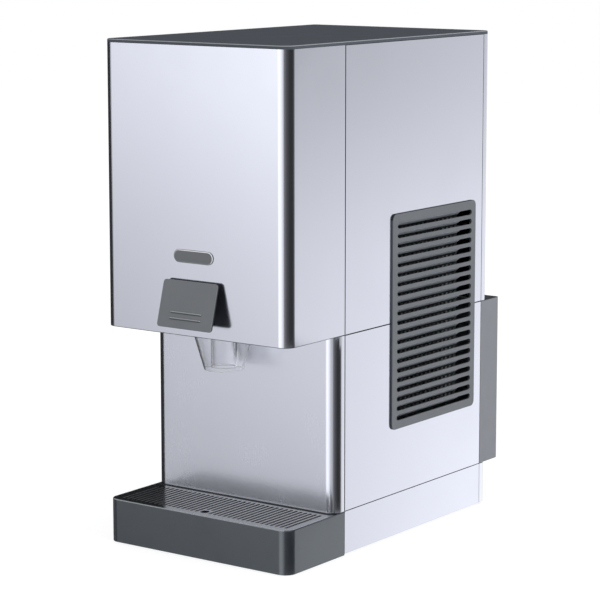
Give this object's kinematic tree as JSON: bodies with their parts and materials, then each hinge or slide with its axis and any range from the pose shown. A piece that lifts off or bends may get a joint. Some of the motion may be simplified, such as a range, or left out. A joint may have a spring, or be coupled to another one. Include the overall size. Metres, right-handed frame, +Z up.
{
  "type": "countertop ice dispenser",
  "caption": "Upright countertop ice dispenser with a head that overhangs a glass bay, a push flap, a clear cone spout, a slotted drip tray and louvred side air grilles.",
  "frame": {"origin": "centre of the bounding box at the counter, under the middle of the body", "axes": "+Z up, front towards -Y, +X to the right as seen from the front"},
  "size_m": [0.356, 0.6211, 0.787],
  "materials": {
    "steel": "satin stainless sheet",
    "lid": "fine grained moulding",
    "tray": "fine grained moulding",
    "grille": "smooth moulding",
    "air": "fine grained moulding",
    "flap": "fine grained moulding",
    "cover": "fine grained moulding",
    "clear": "clear moulding",
    "white": "white moulding",
    "black": "black moulding",
    "enamel": "black enamel",
    "plated": "zinc plated sheet",
    "fins": "plain fins",
    "tin": "polished stainless",
    "copper": "drawn copper tube",
    "rubber": "moulded rubber"
  },
  "bodies": {
    "housing": {"head_front_panel": "steel", "head_underside_panel": "steel", "splash_panel": "steel", "right_upper_side_panel": "steel", "right_lower_side_panel": "steel", "left_upper_side_panel": "steel", "left_lower_side_panel": "steel", "upper_rear_panel": "steel", "base_rear_panel": "steel", "base_pan": "steel", "top_lid": "lid", "drip_tray": "tray", "right_air_grille": "air", "left_air_grille": "air", "rear_cover": "cover", "spout_cone": "clear", "ice_tube": "clear", "ice_bin": "white", "auger_bush": "white", "drain_pipe": "white", "spray_chamber": "white", "ice_slide": "white", "spray_bar": "white", "float_valve": "white", "water_inlet_valve": "white", "microswitch": "black", "circulation_pump": "black", "drain_outlet": "black", "cable_gland": "black", "electric_box": "black", "compressor": "enamel", "auger_gearmotor": "enamel", "fan_motor": "enamel", "bin_shelf": "plated", "bulkhead": "plated", "machine_deck": "plated", "front_left_post": "plated", "front_right_post": "plated", "rear_left_post": "plated", "rear_right_post": "plated", "flap_bracket": "plated", "flap_hinge_pin": "plated", "fan_shroud": "plated", "condenser": "fins", "evaporator": "fins", "filter_drier": "copper", "suction_line": "copper", "evaporator_coil": "copper", "front_left_foot": "rubber", "front_right_foot": "rubber", "rear_left_foot": "rubber", "rear_right_foot": "rubber"},
    "flap": {"dispense_flap": "flap", "flap_spring": "plated"},
    "lever": {"switch_lever": "plated"},
    "grille": {"drip_grille": "grille"},
    "auger": {"dispense_auger": "tin"},
    "fan": {"fan_blade": "white"},
    "curtain": {"ice_curtain": "white"},
    "float": {"float_arm": "white"}
  },
  "joints": [
    {"name": "flap_hinge", "type": "hinge", "parent": "housing", "child": "flap", "pos_m": [0, -0.28701, 0.4193], "axis": [1, 0, 0], "range_deg": [0, 13], "stiffness_Nm_per_rad": 0.3, "springref_deg": -5.73},
    {"name": "switch_lever_hinge", "type": "hinge", "parent": "housing", "child": "lever", "pos_m": [0, -0.26831, 0.411], "axis": [1, 0, 0], "range_deg": [0, 15.4], "stiffness_Nm_per_rad": 0.01},
    {"name": "grille_lift", "type": "slide", "parent": "housing", "child": "grille", "axis": [0, 0, 1], "range_m": [0, 0.06]},
    {"name": "auger_spin", "type": "hinge", "parent": "housing", "child": "auger", "pos_m": [0, -0.10451, 0.404], "axis": [0, 1, 0], "continuous": true},
    {"name": "fan_spin", "type": "hinge", "parent": "housing", "child": "fan", "pos_m": [0.113, 0.1065, 0.345], "axis": [1, 0, 0], "continuous": true},
    {"name": "curtain_hinge", "type": "hinge", "parent": "housing", "child": "curtain", "pos_m": [0, -0.0217, 0.683], "axis": [-1, 0, 0], "range_deg": [0, 35]},
    {"name": "float_hinge", "type": "hinge", "parent": "housing", "child": "float", "pos_m": [-0.108, 0.1975, 0.655], "axis": [1, 0, 0], "range_deg": [-10, 12]}
  ],
  "couplings": [
    {"joint": "switch_lever_hinge", "follows": "flap_hinge", "ratio": 1.177}
  ]
}
